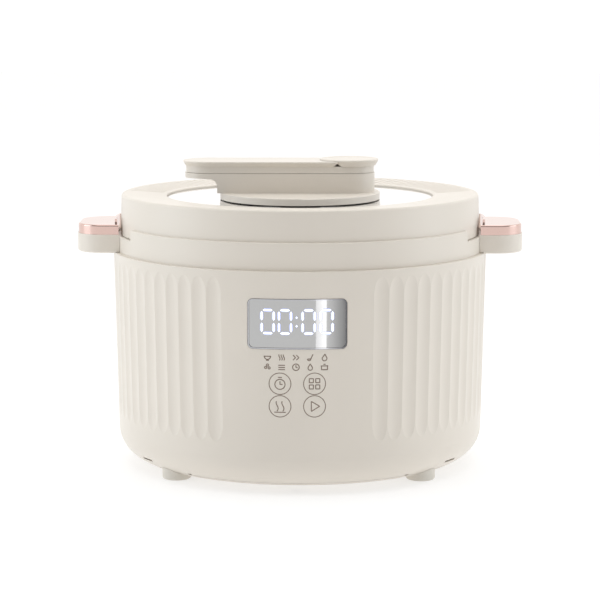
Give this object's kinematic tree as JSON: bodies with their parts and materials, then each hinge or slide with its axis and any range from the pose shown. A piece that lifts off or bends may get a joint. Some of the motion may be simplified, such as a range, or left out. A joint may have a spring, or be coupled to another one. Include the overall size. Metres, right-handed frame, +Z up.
{
  "type": "electric pressure cooker",
  "caption": "Round electric pressure cooker with a fluted wall, bayonet lid, turning lid handle with a steam button, side grips and a front display.",
  "frame": {"origin": "on the round axis of the cooker, at the level of the floor under its feet", "axes": "+Z up along the round axis, -Y towards the display, +X along the line of the side grips, away from the free end of the lid handle"},
  "size_m": [0.297, 0.25, 0.2036],
  "materials": {
    "cream_plastic": "satin moulded plastic, fine texture",
    "soft_pad": "soft cream pad",
    "steel_screw": "zinc plated steel",
    "spring_steel": "bright spring steel",
    "silicone": "translucent silicone",
    "steel_sheet": "pressed stainless steel",
    "rose_gold": "mirror plated rose gold",
    "bezel_chrome": "bright plated rim",
    "mirror_lens": "half mirrored grey lens",
    "circuit_board": "green laminate",
    "led_white": "white light module",
    "copper": "bare copper",
    "ribbon": "grey flat cable",
    "cast_aluminium": "machined casting",
    "heater_steel": "heat tinted tube",
    "dark_plastic": "black heat proof plastic",
    "sensor_aluminium": "spun cap",
    "fuse_metal": "tinned case",
    "pot_coating": "dark non-stick coating",
    "mirror_steel": "polished stainless steel",
    "valve_steel": "turned stainless steel"
  },
  "bodies": {
    "base": {"base_cover": "cream_plastic", "feet": "soft_pad", "base_screws": "steel_screw", "outer_housing": "cream_plastic", "collar": "cream_plastic", "pot_seat_ring": "silicone", "locking_ring": "steel_sheet", "locking_ring_screws": "steel_screw", "right_grip": "cream_plastic", "left_grip": "cream_plastic", "right_grip_cap": "rose_gold", "left_grip_cap": "rose_gold", "grip_screws": "steel_screw", "display_bezel": "bezel_chrome", "display_lens": "mirror_lens", "display_board": "circuit_board", "led_module": "led_white", "touch_contacts": "copper", "ribbon_cable": "ribbon", "liner": "steel_sheet", "heating_plate": "cast_aluminium", "heating_tube": "heater_steel", "spring_diaphragm": "spring_steel", "diaphragm_screws": "steel_screw", "switch_bracket": "spring_steel", "pressure_switch": "dark_plastic", "thermostat_holder": "dark_plastic", "thermostat_spring": "spring_steel", "thermal_fuse": "fuse_metal", "power_board": "circuit_board", "relay": "dark_plastic", "transformer": "dark_plastic", "capacitor": "dark_plastic", "power_inlet": "dark_plastic", "inlet_pins": "steel_screw", "lead_wires": "copper"},
    "thermostat": {"thermostat_cap": "sensor_aluminium"},
    "pot": {"inner_pot": "pot_coating"},
    "lid": {"lid_shell": "cream_plastic", "lid_panel": "mirror_steel", "lid_bush": "dark_plastic", "inner_lid": "steel_sheet", "seal_ring": "silicone", "lid_posts": "steel_screw", "vent_pipe": "valve_steel", "vent_nut": "steel_screw", "vent_filter": "dark_plastic"},
    "float_valve": {"float_pin": "valve_steel", "float_seal": "silicone"},
    "lid_handle": {"handle_disc": "cream_plastic", "handle_body": "cream_plastic", "handle_cover": "cream_plastic", "handle_screws": "steel_screw", "bayonet_plate": "steel_sheet", "bayonet_screws": "steel_screw", "lever_pin": "steel_screw", "button_spring": "spring_steel"},
    "button": {"release_button": "cream_plastic"},
    "lever": {"valve_lever": "dark_plastic"},
    "limiting_valve": {"valve_weight": "valve_steel"}
  },
  "joints": [
    {"name": "thermostat_press", "type": "slide", "parent": "base", "child": "thermostat", "axis": [0, 0, -1], "range_m": [0, 0.002], "stiffness_N_per_m": 200, "deforming": ["thermostat_spring"]},
    {"name": "pot_lift", "type": "slide", "parent": "base", "child": "pot", "axis": [0, 0, 1], "range_m": [0, 0.17]},
    {"name": "lid_lift", "type": "slide", "parent": "pot", "child": "lid", "axis": [0, 0, 1], "range_m": [0, 0.15]},
    {"name": "float_rise", "type": "slide", "parent": "lid", "child": "float_valve", "axis": [0, 0, 1], "range_m": [0, 0.0022]},
    {"name": "handle_turn", "type": "hinge", "parent": "lid", "child": "lid_handle", "pos_m": [0, 0, 0.18], "axis": [0, 0, 1], "range_deg": [0, 30]},
    {"name": "button_press", "type": "slide", "parent": "lid_handle", "child": "button", "axis": [0, 0, -1], "range_m": [0, 0.003], "stiffness_N_per_m": 300, "deforming": ["button_spring"]},
    {"name": "lever_tilt", "type": "hinge", "parent": "lid_handle", "child": "lever", "pos_m": [0.0165, 0, 0.19275], "axis": [0, 1, 0], "range_deg": [0, 10.6]},
    {"name": "valve_lift", "type": "slide", "parent": "lid", "child": "limiting_valve", "axis": [0, 0, 1], "range_m": [0, 0.0031]}
  ],
  "couplings": [
    {"joint": "lever_tilt", "follows": "button_press", "rad_per_m": 61},
    {"joint": "valve_lift", "follows": "button_press", "ratio": 1}
  ]
}
